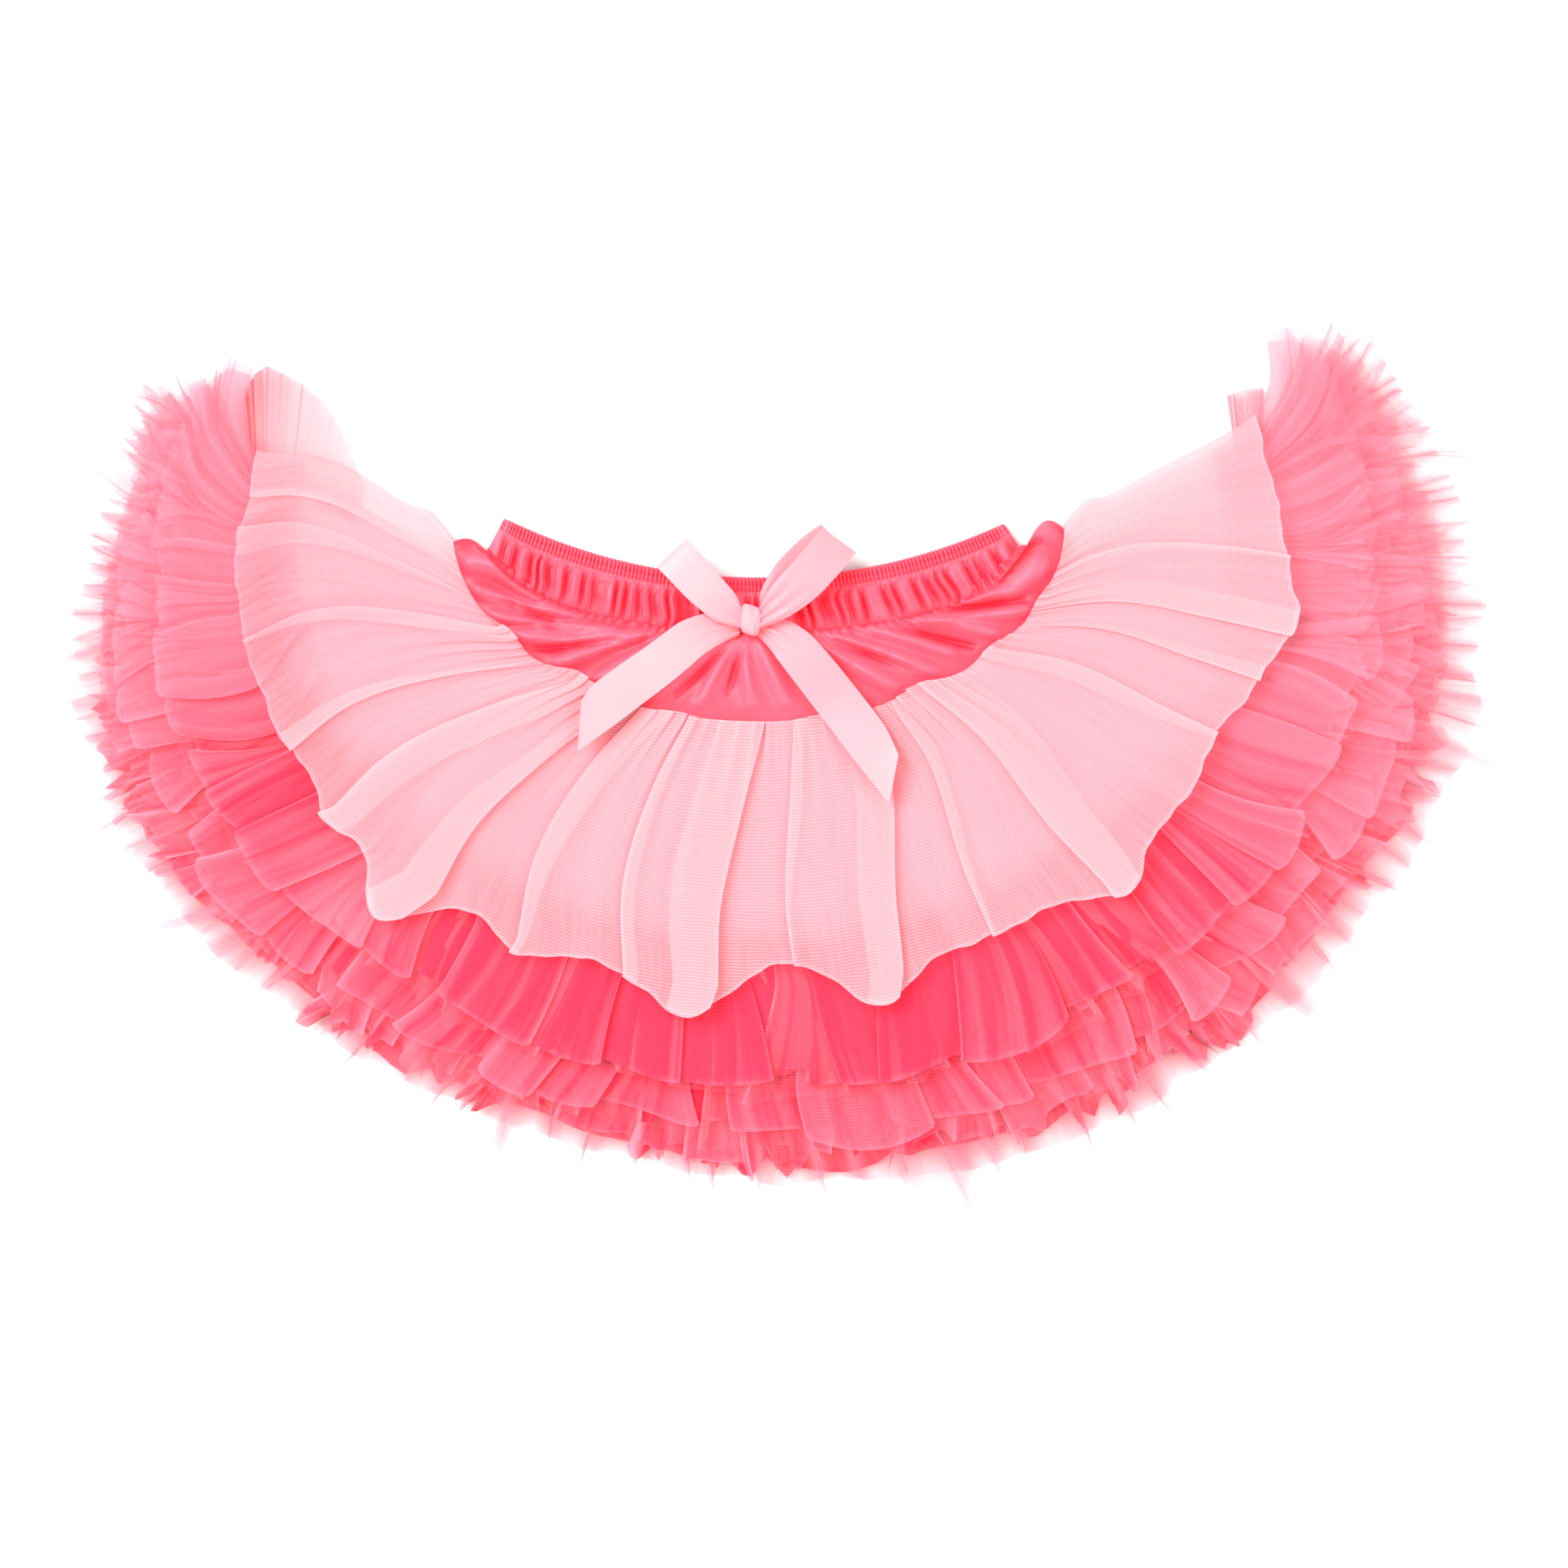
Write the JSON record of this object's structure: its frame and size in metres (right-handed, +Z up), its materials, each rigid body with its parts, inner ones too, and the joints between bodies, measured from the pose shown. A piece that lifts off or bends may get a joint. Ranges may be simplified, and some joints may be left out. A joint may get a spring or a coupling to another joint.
{
  "type": "tutu",
  "caption": "Baby's net tutu laid flat, with a gathered satin waist, a pale net overskirt, net ruffles fanning out below it and a ribbon bow at the waist.",
  "frame": {"origin": "on the table, under the middle of the laid skirt's bounding box", "axes": "+X to the right of the laid skirt, along its widest way; +Y from its hem to its waist; +Z up from the table"},
  "size_m": [0.4968, 0.3041, 0.0308],
  "materials": {
    "satin": "bright pink polyester satin, with a soft sheen on its wrinkles",
    "ruffle_net": "fine pink net, sheer in one layer and deep pink where it is gathered",
    "overlay_net": "fine pale pink net, sheer, with a rolled hem",
    "ribbon": "pale pink satin ribbon, smooth, with a faint shine"
  },
  "bodies": {
    "root": {"waist_casing": "satin", "yoke": "satin", "overlay": "overlay_net", "underskirt": "ruffle_net", "ruffle_upper": "ruffle_net", "ruffle_middle": "ruffle_net", "ruffle_lower": "ruffle_net", "bow_knot": "ribbon", "bow_loop_left": "ribbon", "bow_loop_right": "ribbon", "bow_tail_left": "ribbon", "bow_tail_right": "ribbon"}
  },
  "joints": []
}
